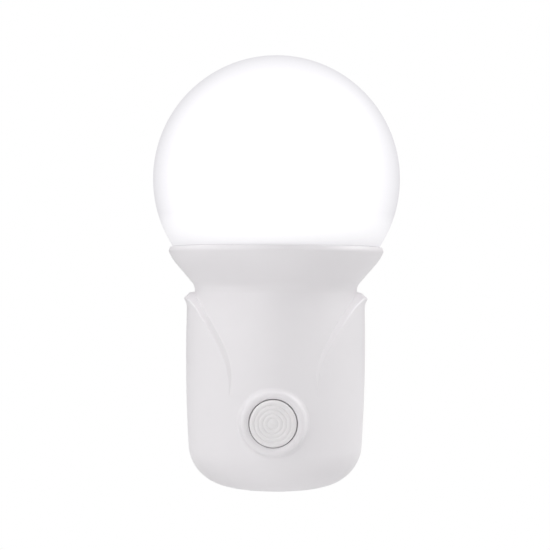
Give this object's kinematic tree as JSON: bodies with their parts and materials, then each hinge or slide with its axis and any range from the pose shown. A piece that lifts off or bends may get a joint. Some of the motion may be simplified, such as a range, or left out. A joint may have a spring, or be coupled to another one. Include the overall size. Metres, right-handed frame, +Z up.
{
  "type": "night light",
  "caption": "Plug-in night light: an opal globe on a flared cup and a rounded body that sits over the plug, switched by a ridged push button in a raised ring on the front.",
  "frame": {"origin": "middle of the plug's end face, between the two pins", "axes": "+Y into the wall, along the pins; +Z up, towards the globe; the button faces -Y"},
  "size_m": [0.0614, 0.0952, 0.1063],
  "materials": {
    "opal_diffuser": "satin opal, lit from inside",
    "casing_white": "satin moulded",
    "button_white": "satin moulded, ridged",
    "screw_steel": "zinc plated",
    "sheet_steel": "tinned sheet",
    "spring_steel": "drawn wire",
    "contact_brass": "stamped",
    "plated_pin": "nickel plated",
    "sleeve_black": "satin moulded",
    "switch_black": "satin moulded",
    "plunger_white": "satin moulded",
    "retainer_grey": "satin moulded",
    "board_green": "coated glass fibre board",
    "board_white": "white coated metal-core board",
    "capacitor_yellow": "moulded case",
    "can_black": "shrink sleeve",
    "rectifier_black": "moulded case",
    "resistor_grey": "lacquered",
    "resistor_beige": "lacquered",
    "led_phosphor": "phosphor under clear lens",
    "insulation_brown": "wire insulation",
    "insulation_blue": "wire insulation",
    "insulation_red": "wire insulation",
    "insulation_black": "wire insulation"
  },
  "bodies": {
    "lamp": {"globe_diffuser": "opal_diffuser", "front_shell": "casing_white", "rear_shell": "casing_white", "case_screws": "screw_steel", "switch_body": "switch_black", "switch_cover": "sheet_steel", "switch_spring": "spring_steel", "switch_terminals": "contact_brass", "switch_latch_wire": "spring_steel", "driver_board": "board_green", "driver_board_screws": "screw_steel", "film_capacitor": "capacitor_yellow", "smoothing_capacitor": "can_black", "bridge_rectifier": "rectifier_black", "fuse_resistor": "resistor_grey", "discharge_resistor": "resistor_beige", "led_board": "board_white", "led_chips": "led_phosphor", "pin_retainer": "retainer_grey", "retainer_screw": "screw_steel", "plug_pin_left": "plated_pin", "plug_pin_right": "plated_pin", "pin_sleeve_left": "sleeve_black", "pin_sleeve_right": "sleeve_black", "solder_tag_left": "contact_brass", "solder_tag_right": "contact_brass", "live_wire": "insulation_brown", "neutral_wire": "insulation_blue", "led_wire_positive": "insulation_red", "led_wire_negative": "insulation_black"},
    "button": {"button_cap": "button_white", "switch_plunger": "plunger_white", "switch_bridge": "contact_brass"}
  },
  "joints": [
    {"name": "button_press", "type": "slide", "parent": "lamp", "child": "button", "axis": [0, 1, 0], "range_m": [0, 0.002], "stiffness_N_per_m": 1000, "deforming": ["switch_spring"]}
  ]
}
